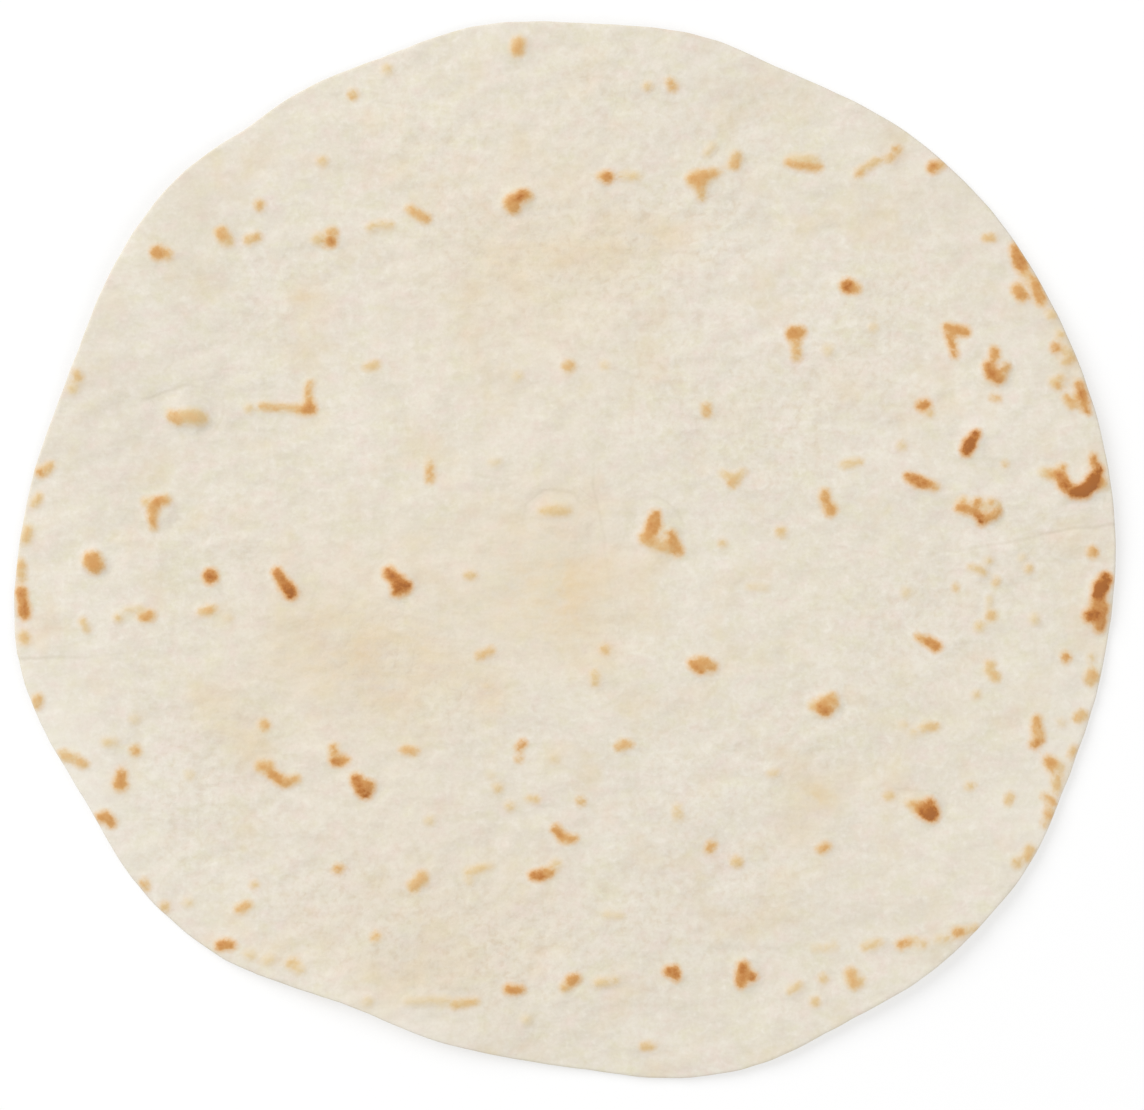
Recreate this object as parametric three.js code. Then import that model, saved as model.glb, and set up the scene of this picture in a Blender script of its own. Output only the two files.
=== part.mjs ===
import * as THREE from 'three';
import { mergeVertices } from 'three/addons/utils/BufferGeometryUtils.js';

// Saj bread: one thin, almost round flatbread, baked as one piece and lying flat.
// Millimetres, +Z up. The origin is under the middle of the bread, on the surface it rests on.

// Driving sizes
const breadWidth = 300;      // along X
const breadDepth = 288;      // along Y
const sheetThickness = 1.9;  // over the middle
const rimThickness = 1.3;    // at the rounded edge
const rimBand = 24;          // the sheet thins over this distance before the edge

// The rim seen from above, as [direction in degrees from +X, reach in percent of half the width]
const rimKnots = [
  [0, 99.8], [12, 99.2], [25, 98.6], [38, 98.7], [50, 98.0], [58, 96.6], [65, 95.6], [75, 96.3],
  [85, 95.4], [99, 96.3], [110, 95.2], [120, 95.9], [127, 95.6], [134, 96.9], [141, 97.0],
  [150, 96.0], [159, 95.1], [166, 95.9], [172, 97.3], [180, 99.0], [186, 100.4], [192, 101.1],
  [200, 99.7], [207, 98.2], [219, 98.7], [230, 96.8], [237, 93.8], [244, 91.4], [256, 92.1],
  [266, 93.2], [273, 94.9], [281, 98.0], [290, 100.0], [303, 100.0], [311, 101.4], [325, 101.9],
  [335, 100.4], [347, 100.0],
];

// Places where the rim curls up off the table: the middle of the curl in degrees from +X, how far
// it reaches to each side in degrees, how far in from the edge it starts, and its rise at the edge
const curls = [
  { direction: 18, spread: 34, reach: 62, rise: 4.2 },
  { direction: 84, spread: 27, reach: 44, rise: 1.8 },
  { direction: 146, spread: 31, reach: 56, rise: 3.3 },
  { direction: 200, spread: 22, reach: 40, rise: 1.6 },
  { direction: 247, spread: 28, reach: 64, rise: 4.8 },
  { direction: 312, spread: 33, reach: 52, rise: 2.7 },
];

// How finely the surface is divided
const rimSteps = 108;        // round the rim
const innerRings = 6;        // from the middle to the rim band, on each face
const bandRings = 4;         // across the rim band, on each face
const edgeSteps = 4;         // round the edge

// The rim as evenly spaced points, brought to the bread's width and depth.
function makeRim() {
  const knots = rimKnots.map(([direction, reach]) => {
    const angle = THREE.MathUtils.degToRad(direction);
    return new THREE.Vector3(reach * Math.cos(angle), reach * Math.sin(angle), 0);
  });
  const curve = new THREE.CatmullRomCurve3(knots, true, 'centripetal');
  curve.arcLengthDivisions = 1200;
  const points = curve.getSpacedPoints(rimSteps).slice(0, rimSteps);
  const box = new THREE.Box3().setFromPoints(points);
  const middle = box.getCenter(new THREE.Vector3());
  const size = box.getSize(new THREE.Vector3());
  const fit = new THREE.Vector3(breadWidth / size.x, breadDepth / size.y, 1);
  return points.map((point) => point.sub(middle).multiply(fit));
}

// The section from the middle of the underside, out round the edge and back to the middle of the
// top. Each point is a share of the way out, less an inset in millimetres, at a height.
function makeSection() {
  const edgeRadius = rimThickness / 2;
  const section = [];
  const addFace = (height) => {
    for (let i = 0; i <= innerRings; i += 1) {
      const share = i / innerRings;
      section.push({ share, inset: share * rimBand, height: height(0) });
    }
    for (let i = 1; i <= bandRings; i += 1) {
      const across = i / bandRings;
      const inset = THREE.MathUtils.lerp(rimBand, edgeRadius, across);
      section.push({ share: 1, inset, height: height(across) });
    }
  };

  addFace((across) => THREE.MathUtils.lerp(sheetThickness, rimThickness, across ** 2));
  section.reverse();
  const top = section.splice(0);
  addFace(() => 0);
  for (let i = 1; i < edgeSteps; i += 1) {
    const turn = Math.PI * (i / edgeSteps - 0.5);
    const inset = edgeRadius * (1 - Math.cos(turn));
    section.push({ share: 1, inset, height: edgeRadius * (1 + Math.sin(turn)) });
  }
  return section.concat(top);
}

// How far the sheet is lifted at a point this far in from the edge.
function liftAt(direction, fromEdge) {
  let lift = 0;
  for (const curl of curls) {
    const away = Math.abs(THREE.MathUtils.euclideanModulo(direction - curl.direction + 180, 360) - 180);
    const sideways = Math.max(0, 1 - away / curl.spread);
    const inwards = Math.max(0, 1 - fromEdge / curl.reach);
    lift += curl.rise * THREE.MathUtils.smoothstep(sideways, 0, 1) * inwards ** 2;
  }
  return lift;
}

// One closed skin: a turned section whose every ring follows the rim and the curls.
function makeBread() {
  const rim = makeRim();
  const section = makeSection();
  const outline = section.map((point) => new THREE.Vector2(point.share * breadWidth, point.height));
  const turned = new THREE.LatheGeometry(outline, rimSteps);
  const position = turned.getAttribute('position');
  for (let step = 0; step <= rimSteps; step += 1) {
    const rimPoint = rim[step % rimSteps];
    const reach = rimPoint.length();
    const direction = THREE.MathUtils.radToDeg(Math.atan2(rimPoint.y, rimPoint.x));
    section.forEach((point, row) => {
      const distance = point.share * reach - point.inset;
      const place = rimPoint.clone().setLength(distance);
      const height = point.height + liftAt(direction, reach - distance);
      position.setXYZ(step * section.length + row, place.x, place.y, height);
    });
  }
  turned.deleteAttribute('normal');
  turned.deleteAttribute('uv');
  const skin = mergeVertices(turned, 1e-4);
  skin.setIndex(keepWholeFaces(Array.from(skin.getIndex().array)));
  skin.computeVertexNormals();
  return skin;
}

// Leaves out the faces that the two middle points have pinched to a line.
function keepWholeFaces(corners) {
  const kept = [];
  for (let i = 0; i < corners.length; i += 3) {
    const [a, b, c] = corners.slice(i, i + 3);
    if (a !== b && b !== c && c !== a) {
      kept.push(a, b, c);
    }
  }
  return kept;
}

const crust = new THREE.MeshStandardMaterial({ color: 0xe6dbc8, roughness: 0.8, metalness: 0 });
const bread = new THREE.Mesh(makeBread(), crust);
bread.name = 'bread';

const group = new THREE.Group();
group.add(bread);

export default group;
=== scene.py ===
import math

import bpy
import numpy as np
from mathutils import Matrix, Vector
from mathutils.bvhtree import BVHTree


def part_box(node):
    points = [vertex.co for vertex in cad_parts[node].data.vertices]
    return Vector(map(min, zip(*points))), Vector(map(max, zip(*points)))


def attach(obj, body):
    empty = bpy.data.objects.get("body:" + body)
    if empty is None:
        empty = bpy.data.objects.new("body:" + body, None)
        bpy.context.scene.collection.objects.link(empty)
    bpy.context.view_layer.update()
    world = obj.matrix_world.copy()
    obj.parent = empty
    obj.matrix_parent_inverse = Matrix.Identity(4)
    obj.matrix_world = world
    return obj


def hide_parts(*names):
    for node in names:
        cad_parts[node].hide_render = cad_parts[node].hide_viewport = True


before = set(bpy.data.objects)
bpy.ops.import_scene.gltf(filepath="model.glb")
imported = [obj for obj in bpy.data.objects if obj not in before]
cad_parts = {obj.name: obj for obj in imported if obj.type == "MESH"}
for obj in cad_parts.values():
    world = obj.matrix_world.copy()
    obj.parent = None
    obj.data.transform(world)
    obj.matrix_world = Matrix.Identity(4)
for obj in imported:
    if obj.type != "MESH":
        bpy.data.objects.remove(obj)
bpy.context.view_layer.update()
lowCorner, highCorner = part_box("bread")
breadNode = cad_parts["bread"]
halfWidth = (highCorner.x - lowCorner.x) / 2
percent = halfWidth / 100  # marks are placed in percent of half the bread's width
mm = 0.001

view = {  # the camera looks straight down
    "lens": 85.0,
    "sensor": 36.0,
    "breadShare": 0.9624,  # the bread's share of the view's width
    "aside": (0.0136, -0.0091),  # the view's middle from the bread's, in half widths
}
cameraHeight = 2 * halfWidth / view["breadShare"] * view["lens"] / view["sensor"]
print("frame loaded")


sheet = {
    "rimCuts": 84,  # edges round the coarse sheet, a multiple of four
    "coreShare": 0.79,  # the grid in the middle, as a share of the way out
    "rings": 3,  # bands of faces between the grid and the rim
    "relaxing": 40,
    "levels": 3,
    "evening": 120,  # smooths away the flat facets of the frame
    "inFromRim": 2.0 * mm,  # where the rim's own height is read
    "edgeRound": 0.6 * mm,
    "edgeTurns": 3,
    "nickSize": 7 * mm,
    "nickDepth": 0.28 * mm,
}


def startEditing(thing):
    bpy.ops.object.select_all(action="DESELECT")
    thing.select_set(True)
    bpy.context.view_layer.objects.active = thing
    bpy.ops.object.mode_set(mode="EDIT")
    bpy.ops.mesh.select_all(action="SELECT")


def stopEditing():
    bpy.ops.object.mode_set(mode="OBJECT")


def applyModifier(thing, kind, **settings):
    bpy.ops.object.select_all(action="DESELECT")
    thing.select_set(True)
    bpy.context.view_layer.objects.active = thing
    modifier = thing.modifiers.new(kind.lower(), kind)
    for name, value in settings.items():
        setattr(modifier, name, value)
    bpy.ops.object.modifier_apply(modifier=modifier.name)


def readPoints(thing):
    points = np.empty(len(thing.data.vertices) * 3)
    thing.data.vertices.foreach_get("co", points)
    return points.reshape(-1, 3)


def writePoints(thing, points):
    thing.data.vertices.foreach_set("co", points.ravel())
    thing.data.update()


def layRound():  # a grid in the middle with rings round it, so that the faces follow the rim
    radius = halfWidth
    core = radius * sheet["coreShare"]
    bpy.ops.object.select_all(action="DESELECT")
    bpy.ops.mesh.primitive_circle_add(vertices=sheet["rimCuts"], radius=core, fill_type="NOTHING")
    thing = bpy.context.active_object
    thing.name = "baked_sheet"
    startEditing(thing)
    bpy.ops.mesh.fill_grid(span=sheet["rimCuts"] // 4)
    bpy.ops.mesh.select_all(action="SELECT")
    bpy.ops.mesh.region_to_loop()
    size = core
    for ring in range(sheet["rings"]):
        wider = core + (radius - core) * (ring + 1) / sheet["rings"]
        bpy.ops.mesh.extrude_edges_move()
        bpy.ops.transform.resize(value=(wider / size, wider / size, 1), center_override=(0, 0, 0))
        size = wider
    bpy.ops.mesh.select_all(action="SELECT")
    bpy.ops.mesh.normals_make_consistent(inside=False)
    stopEditing()
    if sum(face.normal.z for face in thing.data.polygons) < 0:
        startEditing(thing)
        bpy.ops.mesh.flip_normals()
        stopEditing()
    relaxInside(thing, radius)
    applyModifier(thing, "SUBSURF", levels=sheet["levels"], render_levels=sheet["levels"])
    return thing


def relaxInside(thing, radius):
    startEditing(thing)
    bpy.ops.mesh.select_mode(type="VERT")
    bpy.ops.mesh.select_all(action="DESELECT")
    stopEditing()
    for vertex in thing.data.vertices:
        vertex.select = vertex.co.length < radius * 0.999
    bpy.ops.object.mode_set(mode="EDIT")
    bpy.ops.mesh.vertices_smooth(factor=0.5, repeat=sheet["relaxing"])
    stopEditing()


def readRim():  # the frame's outermost point in each direction
    points = readPoints(breadNode)
    turns = np.round(np.arctan2(points[:, 1], points[:, 0]), 4)
    directions, places = np.unique(turns, return_inverse=True)
    reaches = np.zeros(len(directions))
    np.maximum.at(reaches, places, np.hypot(points[:, 0], points[:, 1]))
    outer = reaches > reaches.max() * 0.8
    return directions[outer], reaches[outer]


def rimAt(direction):
    directions, reaches = rimReadings
    return np.interp(direction, directions, reaches, period=2 * math.pi)


def softNoise(x, y, size, seed):  # smooth bumps about this size, between -1 and 1
    turns = np.random.default_rng(seed).uniform(0, 2 * math.pi, (64, 64))
    u, v = x / size + 31.4, y / size + 17.2
    column, row = np.floor(u).astype(int), np.floor(v).astype(int)
    acrossU, acrossV = u - column, v - row

    def slope(stepU, stepV):
        turn = turns[(column + stepU) % 64, (row + stepV) % 64]
        return np.cos(turn) * (acrossU - stepU) + np.sin(turn) * (acrossV - stepV)

    easeU, easeV = ease(acrossU), ease(acrossV)
    near = slope(0, 0) * (1 - easeU) + slope(1, 0) * easeU
    far = slope(0, 1) * (1 - easeU) + slope(1, 1) * easeU
    return 1.5 * (near * (1 - easeV) + far * easeV)


def ease(share):
    share = np.clip(share, 0, 1)
    return share * share * (3 - 2 * share)


def readHeights(points):  # the frame's top and underside at each point
    tree = BVHTree.FromObject(breadNode, bpy.context.evaluated_depsgraph_get())
    up = Vector((0, 0, 1))
    heights = np.empty((len(points), 2))
    for index, (x, y, _) in enumerate(points):
        reach = math.hypot(x, y)
        inside = min(1, (rimAt(math.atan2(y, x)) - sheet["inFromRim"]) / max(reach, mm))
        place = Vector((x * inside, y * inside, 0))
        top = tree.ray_cast(place + up, -up)[0]
        under = tree.ray_cast(place - up, up)[0]
        heights[index] = top.z, under.z
    return heights


def followFrame(thing):  # the flat round takes the frame's outline and lies at its middle height
    points = readPoints(thing)
    reach = np.hypot(points[:, 0], points[:, 1])
    direction = np.arctan2(points[:, 1], points[:, 0])
    rim = rimAt(direction)
    nick = softNoise(halfWidth * np.cos(direction), halfWidth * np.sin(direction), sheet["nickSize"], 5)
    share = reach / reach.max()
    newReach = share * (rim - sheet["nickDepth"] * ease(share * 8 - 7) * (0.5 + 0.5 * nick))
    points[:, 0] = newReach * np.cos(direction)
    points[:, 1] = newReach * np.sin(direction)
    heights = readHeights(points)
    points[:, 2] = heights.mean(axis=1)
    writePoints(thing, points)
    return heights[:, 0] - heights[:, 1]


def giveThickness(thing, thickness):
    group = thing.vertex_groups.new(name="thickness")
    thickest = thickness.max()
    for index, value in enumerate(thickness):
        group.add([index], value / thickest, "REPLACE")
    applyModifier(thing, "SMOOTH", factor=0.5, iterations=sheet["evening"], use_x=False, use_y=False)
    applyModifier(thing, "SOLIDIFY", thickness=thickest, offset=0, vertex_group="thickness")
    applyModifier(
        thing,
        "BEVEL",
        width=sheet["edgeRound"],
        segments=sheet["edgeTurns"],
        limit_method="ANGLE",
        angle_limit=math.radians(40),
    )
    thing.vertex_groups.clear()


rimReadings = readRim()
bread = layRound()
giveThickness(bread, followFrame(bread))
print("sheet laid:", len(bread.data.vertices), "vertices", len(bread.data.polygons), "faces")


# Each toasted mark is a brush stroke: how dark it is toasted, then its points as
# (right, up, half its width there), in percent of half the bread's width
toastMarks = [
    # far side
    (0.45, (-8.3, 91.9, 1.2), (-8.6, 90.7, 1.2)),
    (0.42, (-38.4, 82.6, 0.9)),
    (0.18, (-32.2, 87.2, 0.9)),
    (0.28, (-43.9, 70.5, 0.8)),
    (0.48, (19.1, 85.0, 0.7), (19.7, 84.0, 0.8)),
    (0.28, (15.1, 84.1, 0.7)),
    (0.46, (6.6, 67.8, 0.6)),
    (0.82, (7.8, 67.6, 1.1)),
    (0.18, (11.0, 67.9, 0.7), (13.0, 67.7, 0.7)),
    (0.52, (23.4, 67.2, 1.3), (24.8, 67.6, 1.4), (27.5, 68.5, 0.6)),
    (0.50, (24.6, 66.4, 1.0)),
    (0.40, (24.8, 65.2, 0.8), (24.9, 63.9, 0.65)),
    (0.46, (30.8, 70.0, 1.0), (31.3, 71.6, 0.8)),
    (0.18, (25.8, 71.9, 0.5), (26.9, 73.3, 0.5)),
    (0.55, (40.6, 70.3, 0.6), (43.0, 69.7, 0.75), (46.0, 69.4, 0.75)),
    (0.20, (41.5, 71.1, 0.6), (45.5, 70.9, 0.7)),
    (0.52, (53.4, 68.3, 0.75)),
    (0.33, (54.3, 69.1, 0.5), (56.6, 70.6, 0.65)),
    (0.42, (58.9, 70.9, 0.65), (59.5, 71.3, 0.5)),
    (0.52, (60.3, 72.6, 0.8)),
    (0.75, (66.9, 69.4, 1.1)),
    (0.50, (68.3, 69.9, 0.7)),
    (0.42, (76.6, 56.6, 0.7), (77.6, 56.6, 0.7)),
    (0.66, (-73.9, 54.0, 1.3)),
    (0.50, (-72.0, 53.6, 0.9)),
    (0.50, (-62.2, 57.5, 1.2), (-61.8, 56.7, 1.1)),
    (0.30, (-60.8, 55.8, 0.7)),
    (0.40, (-57.3, 56.2, 0.8), (-55.8, 56.8, 0.8)),
    (0.45, (-55.3, 62.6, 0.9)),
    (0.80, (-42.4, 56.0, 1.1)),
    (0.46, (-42.2, 57.6, 1.0)),
    (0.25, (-44.8, 56.4, 1.0)),
    (0.50, (-28.0, 61.8, 0.7), (-26.6, 60.9, 0.8), (-25.2, 60.1, 0.9)),
    (0.25, (-35.2, 58.4, 0.6), (-34.6, 58.9, 0.5)),
    (0.25, (-33.3, 59.0, 0.6), (-31.6, 58.9, 0.6)),
    (0.86, (-9.0, 63.5, 1.0), (-7.5, 64.4, 1.0)),
    (0.55, (-6.6, 64.2, 0.7)),
    (0.62, (-9.7, 62.8, 1.3), (-9.2, 62.1, 1.2)),
    (0.80, (81.6, 55.0, 0.7), (82.0, 53.4, 1.1), (82.9, 51.6, 1.25)),
    (0.48, (83.9, 50.1, 0.9)),
    # middle, far half
    (0.65, (85.2, 48.6, 0.9), (86.1, 46.4, 1.0), (86.6, 45.1, 0.9)),
    (0.65, (82.2, 47.4, 1.1), (83.0, 46.1, 1.1)),
    (0.30, (88.4, 42.6, 0.8)),
    (0.30, (90.0, 39.1, 0.7)),
    (0.72, (89.1, 36.7, 0.9)),
    (0.28, (91.2, 36.2, 0.7), (91.7, 35.4, 0.6)),
    (0.48, (91.8, 34.6, 0.75)),
    (0.32, (90.8, 33.9, 0.55)),
    (0.42, (90.2, 31.2, 0.55)),
    (0.46, (89.5, 30.0, 0.9)),
    (0.24, (88.7, 30.7, 0.6)),
    (0.50, (91.2, 27.6, 0.7), (92.2, 26.4, 0.8), (93.1, 26.6, 0.6)),
    (0.70, (93.3, 30.2, 0.65)),
    (0.86, (93.8, 29.2, 0.8), (94.2, 27.6, 0.9)),
    (0.50, (93.2, 28.0, 0.5)),
    (0.68, (94.4, 26.4, 0.8)),
    (0.80, (95.0, 25.1, 0.55)),
    (0.88, (51.4, 47.9, 1.35)),
    (0.60, (52.9, 47.5, 0.9)),
    (0.20, (56.1, 40.4, 0.6)),
    (0.70, (41.6, 39.2, 1.4), (42.6, 39.5, 1.2)),
    (0.48, (42.0, 37.5, 0.8), (42.2, 35.1, 0.8)),
    (0.13, (47.9, 36.3, 0.9)),
    (0.70, (69.4, 40.4, 0.8), (71.0, 40.0, 0.9), (72.8, 39.6, 0.9)),
    (0.72, (70.0, 39.0, 0.75), (70.4, 37.0, 0.7), (70.9, 35.4, 0.6)),
    (0.68, (78.1, 36.2, 0.8), (78.0, 34.9, 0.8)),
    (0.82, (76.9, 33.3, 1.0), (77.5, 32.0, 1.2), (78.6, 31.1, 1.0)),
    (0.60, (79.3, 31.5, 0.8), (80.3, 33.3, 0.6)),
    (0.56, (77.7, 27.7, 0.35), (78.8, 27.5, 0.35)),
    (0.84, (64.8, 26.2, 0.95), (65.6, 26.4, 0.9)),
    (0.30, (66.3, 24.8, 0.6)),
    (1.00, (72.9, 18.0, 1.1), (73.5, 19.3, 1.3), (74.7, 21.1, 0.8)),
    (0.20, (61.2, 18.9, 0.8)),
    (0.34, (80.0, 15.6, 0.45)),
    (0.84, (62.3, 13.3, 0.8), (64.2, 12.4, 1.1), (66.2, 11.8, 0.8)),
    (0.48, (67.4, 11.4, 0.6)),
    (0.88, (89.8, 13.5, 1.1), (90.8, 11.7, 1.2)),
    (1.02, (92.3, 10.5, 1.2), (94.3, 10.7, 1.4), (96.2, 12.7, 1.6), (97.0, 14.4, 0.9)),
    (0.75, (96.2, 15.5, 0.7), (96.0, 17.0, 0.6)),
    (0.60, (90.4, 15.0, 0.7)),
    (0.50, (88.2, 13.8, 0.9)),
    (0.20, (86.8, 14.2, 0.6)),
    (0.40, (97.8, 11.9, 0.8)),
    (0.74, (71.8, 7.7, 0.9), (73.2, 7.4, 0.8)),
    (0.45, (72.4, 8.9, 0.6)),
    (0.90, (74.3, 7.0, 0.7), (75.4, 6.1, 0.8)),
    (1.00, (75.7, 5.1, 0.65)),
    (0.64, (75.0, 8.8, 0.65), (74.5, 7.8, 0.6)),
    (0.30, (76.3, 7.8, 0.55)),
    (0.50, (77.5, 8.6, 0.6)),
    (0.30, (78.7, 8.2, 0.45)),
    (0.66, (76.7, 5.8, 0.75), (77.8, 6.2, 0.8), (78.6, 6.9, 0.7)),
    (0.62, (47.2, 10.3, 0.8), (47.3, 9.0, 0.9), (47.8, 8.2, 0.6)),
    (0.60, (48.3, 7.3, 1.2)),
    (0.28, (50.7, 15.4, 0.6), (52.6, 15.9, 0.6), (53.8, 16.0, 0.4)),
    (0.48, (30.6, 12.3, 1.0)),
    (0.28, (28.8, 13.9, 0.6), (30.6, 13.0, 0.6), (32.6, 14.2, 0.5)),
    (0.45, (25.7, 26.0, 0.7), (25.9, 24.8, 0.8)),
    (0.45, (0.8, 33.3, 1.1)),
    (0.17, (7.4, 33.5, 0.7)),
    (0.72, (16.5, 6.3, 1.0), (16.1, 4.6, 1.3), (15.6, 3.0, 1.2)),
    (0.50, (14.7, 2.2, 1.1), (15.9, 1.2, 0.9)),
    (0.65, (19.4, 2.8, 0.8), (19.8, 1.2, 1.2), (20.7, -0.3, 0.9)),
    (0.42, (17.6, 0.6, 0.9), (19.0, 0.3, 0.9)),
    (0.30, (39.3, 3.2, 0.95)),
    (0.28, (28.8, 1.2, 0.7)),
    (0.30, (-35.9, 33.2, 0.6), (-34.3, 33.5, 0.8)),
    (0.50, (-24.4, 14.9, 0.7), (-24.3, 12.8, 0.75)),
    (0.20, (-24.6, 16.4, 0.5)),
    (0.13, (-8.5, 31.5, 0.9)),
    (0.13, (-13.0, 15.8, 0.6), (-12.0, 16.0, 0.5)),
    (0.28, (-4.0, 7.1, 0.7), (-2.2, 7.2, 0.95), (0.5, 7.0, 0.7)),
    (0.45, (-54.8, 26.1, 0.6), (-53.6, 25.9, 0.7), (-50.5, 25.9, 0.5), (-48.2, 25.5, 0.7)),
    (0.78, (-47.2, 25.4, 0.9), (-46.2, 25.8, 1.2)),
    (0.52, (-46.4, 27.2, 0.7), (-46.6, 29.2, 0.6), (-46.0, 30.4, 0.4)),
    (0.20, (-57.2, 25.6, 0.7)),
    (0.50, (-71.2, 24.4, 0.9), (-70.2, 23.7, 1.0)),
    (0.30, (-68.6, 24.3, 1.3), (-66.3, 23.9, 1.4)),
    (0.80, (-73.7, 8.7, 0.9)),
    (0.48, (-72.3, 9.1, 0.8)),
    (0.60, (-74.6, 8.0, 1.0), (-74.7, 5.6, 0.8), (-74.5, 4.2, 0.6)),
    (0.35, (-76.0, 8.8, 0.7)),
    (0.40, (-88.5, 32.0, 0.7), (-88.3, 31.3, 0.8)),
    (0.18, (-89.3, 29.2, 1.0)),
    (0.60, (-95.0, 14.1, 0.9)),
    (0.42, (-93.9, 14.8, 0.9), (-93.3, 15.3, 0.7)),
    (0.33, (-96.2, 8.4, 0.7), (-95.4, 9.6, 0.7)),
    (0.33, (-97.7, 2.0, 0.9), (-97.3, 3.4, 0.9)),
    # middle, near half
    (0.60, (-85.6, -1.9, 1.7), (-85.1, -2.7, 1.6)),
    (0.88, (-64.3, -4.8, 1.4)),
    (0.85, (-52.2, -4.0, 0.9), (-51.0, -6.0, 1.1)),
    (0.97, (-50.6, -6.6, 1.1), (-49.7, -7.7, 1.3)),
    (0.40, (-98.6, -2.6, 0.8), (-98.6, -4.8, 0.7)),
    (0.80, (-98.6, -7.6, 1.1), (-98.4, -9.0, 0.9), (-98.0, -11.5, 1.1)),
    (0.38, (-98.2, -15.8, 1.0), (-97.8, -16.4, 0.8)),
    (0.28, (-87.4, -13.0, 0.6), (-86.6, -14.3, 0.6)),
    (0.28, (-81.0, -12.4, 0.7)),
    (0.57, (-76.4, -12.1, 0.9), (-75.3, -11.9, 1.0)),
    (0.15, (-79.5, -10.9, 0.5), (-77.0, -10.7, 0.6)),
    (0.42, (-66.0, -11.3, 0.6), (-64.8, -11.1, 0.9), (-63.8, -10.7, 0.6)),
    (0.13, (-61.0, -12.3, 0.6)),
    (0.46, (-95.8, -28.0, 0.8), (-95.5, -27.0, 0.9)),
    (0.14, (-78.0, -30.8, 0.8)),
    (0.50, (-77.9, -36.4, 0.95)),
    (0.18, (-83.3, -34.9, 0.7), (-81.8, -34.9, 0.7)),
    (0.42, (-91.0, -37.0, 0.8), (-90.3, -37.6, 0.8), (-88.9, -37.6, 0.6)),
    (0.46, (-88.2, -38.4, 0.7), (-87.2, -38.9, 0.8)),
    (0.67, (-80.4, -40.6, 0.9), (-80.6, -42.5, 1.3)),
    (0.13, (-68.0, -40.9, 0.8)),
    (0.48, (-55.2, -39.3, 1.0), (-53.8, -39.2, 1.0)),
    (0.68, (-53.4, -40.4, 0.85), (-51.5, -41.9, 0.85)),
    (0.52, (-50.8, -42.3, 0.9), (-48.7, -41.6, 0.7)),
    (0.44, (-54.5, -31.8, 1.0)),
    (0.70, (-84.1, -48.5, 0.95), (-83.0, -48.3, 0.85), (-82.3, -49.6, 0.9)),
    (0.92, (-31.9, -4.1, 1.1), (-30.6, -5.3, 1.2), (-28.7, -6.6, 1.1)),
    (0.88, (-30.2, -6.6, 0.9), (-30.5, -7.8, 0.85)),
    (0.90, (-29.5, -7.0, 1.1)),
    (0.33, (-17.5, -4.6, 0.6), (-16.6, -4.6, 0.7)),
    (0.46, (-15.4, -19.2, 0.65), (-14.6, -18.9, 0.6), (-13.4, -18.3, 0.7)),
    (0.56, (-41.9, -35.8, 0.7), (-41.7, -37.2, 0.8)),
    (0.86, (-41.7, -38.3, 0.9), (-40.8, -38.4, 0.9)),
    (0.62, (-39.7, -38.1, 0.7)),
    (0.86, (-37.7, -41.6, 1.1), (-36.9, -43.0, 1.3)),
    (0.96, (-36.3, -43.7, 1.2), (-36.1, -44.2, 1.1)),
    (0.72, (-35.4, -42.8, 1.0)),
    (0.52, (-29.4, -36.3, 0.55), (-28.3, -36.3, 0.75), (-27.1, -36.6, 0.6)),
    (0.80, (-8.2, -35.9, 0.6), (-7.6, -35.1, 0.65)),
    (0.52, (-8.2, -38.0, 0.6)),
    (0.26, (-12.1, -43.3, 0.8)),
    (0.12, (-13.3, -41.0, 0.6)),
    (0.24, (-9.9, -46.6, 0.8)),
    (0.30, (-6.3, -45.1, 0.5), (-5.1, -45.3, 0.6)),
    (0.14, (-1.8, -37.9, 0.7)),
    (0.16, (-24.4, -49.2, 0.8)),
    (0.40, (7.3, -18.1, 0.9)),
    (0.24, (5.6, -22.4, 0.7), (5.5, -24.0, 0.8)),
    (0.74, (23.4, -20.6, 1.0), (24.6, -21.6, 1.0)),
    (0.60, (25.2, -20.4, 1.2), (26.8, -21.2, 0.9)),
    (0.80, (46.4, -28.4, 1.1), (47.4, -29.1, 1.2)),
    (0.52, (47.3, -27.6, 1.1), (48.6, -26.9, 1.0), (48.9, -28.0, 0.8)),
    (0.35, (45.1, -28.2, 0.7)),
    (0.48, (9.9, -35.7, 0.8), (10.8, -35.3, 0.9), (11.9, -35.3, 0.6)),
    (0.44, (3.0, -45.6, 0.8)),
    (0.22, (20.5, -46.8, 0.6), (20.6, -48.3, 0.8)),
    (0.20, (37.4, -40.6, 0.5), (38.5, -40.3, 0.5)),
    (0.12, (33.4, -6.7, 0.4), (36.8, -6.9, 0.4)),
    (0.60, (95.9, -0.4, 1.0)),
    (0.98, (98.2, -5.3, 1.3), (97.3, -6.8, 1.6), (96.8, -8.4, 1.2)),
    (0.80, (96.6, -9.8, 1.2), (97.7, -10.6, 1.1)),
    (0.96, (95.4, -11.9, 1.3), (96.4, -11.7, 1.3)),
    (0.80, (97.4, -12.3, 1.1), (97.1, -14.2, 0.9)),
    (0.28, (73.9, -3.1, 0.5), (75.3, -3.6, 0.5), (76.1, -4.1, 0.5)),
    (0.22, (77.0, -2.0, 0.6)),
    (0.30, (84.3, -3.5, 0.65)),
    (0.13, (83.2, -1.5, 0.5)),
    (0.36, (71.0, -6.8, 0.5)),
    (0.40, (78.3, -6.1, 0.4), (78.6, -5.5, 0.4)),
    (0.14, (77.3, -8.8, 0.4), (77.1, -10.0, 0.4)),
    (0.40, (77.5, -11.9, 0.9)),
    (0.20, (75.3, -14.0, 0.9)),
    (0.14, (62.0, -7.8, 0.8)),
    (0.82, (66.0, -16.6, 0.8), (67.4, -17.5, 1.0)),
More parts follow.
